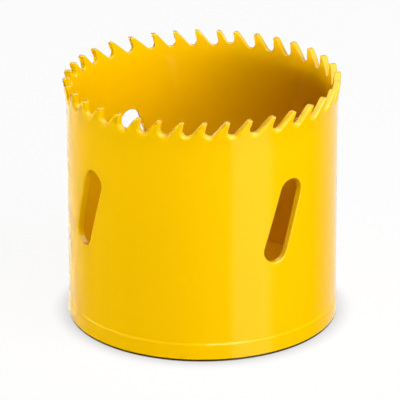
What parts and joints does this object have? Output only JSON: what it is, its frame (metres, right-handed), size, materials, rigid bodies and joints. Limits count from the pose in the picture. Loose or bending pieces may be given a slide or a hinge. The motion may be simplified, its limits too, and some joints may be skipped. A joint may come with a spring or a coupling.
{
  "type": "hole saw",
  "caption": "Cup-shaped hole saw with a ring of hooked teeth, leaning slots in its wall and a threaded backing plate with drive-pin holes.",
  "frame": {"origin": "on the saw's axis at the outer face of the backing plate, which it stands on", "axes": "+Z along the saw's axis, from the arbor side towards the teeth; -Y is the front; seen from the teeth the saw turns counter-clockwise"},
  "size_m": [0.0519, 0.052, 0.047],
  "materials": {
    "cup_paint": "gloss",
    "plate_paint": "gloss"
  },
  "bodies": {
    "root": {"toothed_cup": "cup_paint", "backing_plate": "plate_paint"}
  },
  "joints": []
}
